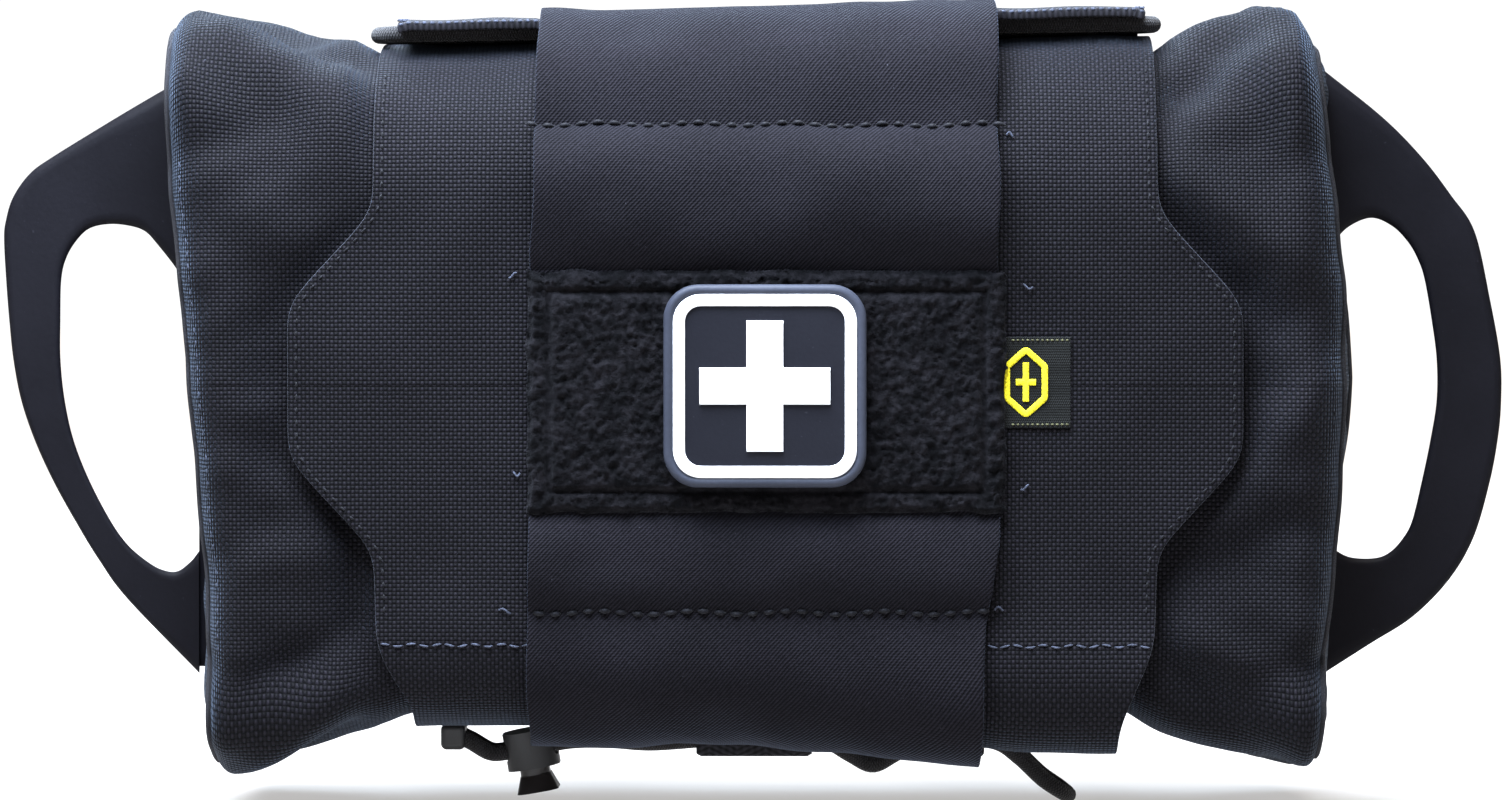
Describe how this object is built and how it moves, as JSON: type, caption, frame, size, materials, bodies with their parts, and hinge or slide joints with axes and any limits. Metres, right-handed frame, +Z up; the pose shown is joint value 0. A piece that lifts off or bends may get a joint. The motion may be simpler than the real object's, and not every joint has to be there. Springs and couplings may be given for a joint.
{
  "type": "pull-out first aid pouch",
  "caption": "Padded first aid roll with a rubber pull handle at each end, held in a fabric sleeve with an elastic front band and rear belt straps.",
  "frame": {"origin": "middle of the back panel's rear face, which lies against the wearer's belt or webbing", "axes": "+X along the pouch towards the front view's right, +Y from the front face back to the wearer, +Z up"},
  "size_m": [0.2965, 0.0962, 0.1548],
  "materials": {
    "pack_cloth": "black plain-weave nylon pack cloth, matte with a coated back",
    "laminate_cloth": "black laminated pack cloth with sealed cut edges",
    "elastic": "black woven elastic with a fine diagonal twill",
    "loop_pile": "black brushed loop pile",
    "hook_tape": "black moulded hook tape",
    "webbing": "black nylon webbing, ribbed",
    "label_weave": "black damask label with a plain yellow mark",
    "edge_tape": "black grosgrain binding tape",
    "shock_cord": "black braided shock cord",
    "pull_rubber": "dark grey rubber-coated sheet, satin",
    "patch_rubber": "charcoal moulded soft rubber",
    "patch_white": "white moulded soft rubber",
    "lock_plastic": "black moulded acetal",
    "button_plastic": "black moulded acetal, polished",
    "spring_wire": "bright spring wire",
    "snap_metal": "black oxide brass snap",
    "stiffener_sheet": "black high-density polyethylene sheet",
    "tourniquet_strap": "orange woven strap",
    "tourniquet_plastic": "black glass-filled nylon",
    "dressing_wrap": "vacuum-packed foil and film",
    "glove_film": "blue film pouch",
    "airway_rubber": "soft translucent tube"
  },
  "bodies": {
    "carrier": {"sleeve": "laminate_cloth", "back_panel": "laminate_cloth", "back_stiffener": "stiffener_sheet", "elastic_band": "elastic", "loop_field": "loop_pile", "label": "label_weave", "top_tunnel_left": "webbing", "top_tunnel_right": "webbing", "top_shock_cord": "shock_cord", "bottom_tunnel_centre": "webbing", "bottom_tunnel_right": "webbing", "bottom_shock_cord": "shock_cord", "cord_end_cap": "lock_plastic", "strap_anchor_left": "webbing", "snap_stud_left": "snap_metal", "strap_anchor_right": "webbing", "snap_stud_right": "snap_metal"},
    "roll": {"roll_wrap": "pack_cloth", "roll_end_left": "pack_cloth", "roll_end_right": "pack_cloth", "roll_binding_left": "edge_tape", "roll_binding_right": "edge_tape", "pull_sheet": "pull_rubber", "closure_hook": "hook_tape", "closure_loop": "loop_pile", "organiser_loop_front": "elastic", "organiser_loop_back": "elastic", "tourniquet_band": "tourniquet_strap", "tourniquet_plate": "tourniquet_plastic", "tourniquet_windlass": "tourniquet_plastic", "tourniquet_clip": "tourniquet_plastic", "tourniquet_buckle": "tourniquet_plastic", "gauze_packs": "dressing_wrap", "pressure_bandage": "dressing_wrap", "chest_seals": "dressing_wrap", "glove_pack": "glove_film", "airway_tube": "airway_rubber"},
    "handle_left": {"handle_left": "pull_rubber"},
    "handle_right": {"handle_right": "pull_rubber"},
    "patch": {"patch_hook_backing": "hook_tape", "patch_base": "patch_rubber", "patch_border": "patch_white", "patch_cross": "patch_white"},
    "strap_left": {"belt_strap_left": "webbing", "snap_socket_left": "snap_metal", "snap_cap_left": "snap_metal"},
    "strap_right": {"belt_strap_right": "webbing", "snap_socket_right": "snap_metal", "snap_cap_right": "snap_metal"},
    "cord_lock": {"cord_lock_barrel": "lock_plastic", "cord_lock_spring": "spring_wire"},
    "cord_lock_button": {"cord_lock_plunger": "button_plastic"}
  },
  "joints": [
    {"name": "roll_slide", "type": "slide", "parent": "carrier", "child": "roll", "axis": [1, 0, 0], "range_m": [-0.25, 0.25]},
    {"name": "handle_left_fold", "type": "hinge", "parent": "roll", "child": "handle_left", "pos_m": [-0.11465, -0.046, 0], "axis": [0, 0, 1], "range_deg": [-85, 85], "stiffness_Nm_per_rad": 0.03},
    {"name": "handle_right_fold", "type": "hinge", "parent": "roll", "child": "handle_right", "pos_m": [0.11265, -0.046, 0], "axis": [0, 0, 1], "range_deg": [-85, 85], "stiffness_Nm_per_rad": 0.03},
    {"name": "patch_pull", "type": "slide", "parent": "carrier", "child": "patch", "axis": [0, -1, 0], "range_m": [0, 0.03]},
    {"name": "strap_left_open", "type": "hinge", "parent": "carrier", "child": "strap_left", "pos_m": [-0.038, 0.00165, 0.0397], "axis": [1, 0, 0], "range_deg": [0, 110]},
    {"name": "strap_right_open", "type": "hinge", "parent": "carrier", "child": "strap_right", "pos_m": [0.038, 0.00165, 0.0397], "axis": [1, 0, 0], "range_deg": [0, 110]},
    {"name": "cord_lock_slide", "type": "slide", "parent": "carrier", "child": "cord_lock", "axis": [0.9848, 0, 0.1736], "range_m": [0, 0.004]},
    {"name": "cord_lock_press", "type": "slide", "parent": "cord_lock", "child": "cord_lock_button", "axis": [-0.1736, 0, 0.9848], "range_m": [0, 0.0012], "stiffness_N_per_m": 400, "deforming": ["cord_lock_spring"]}
  ]
}
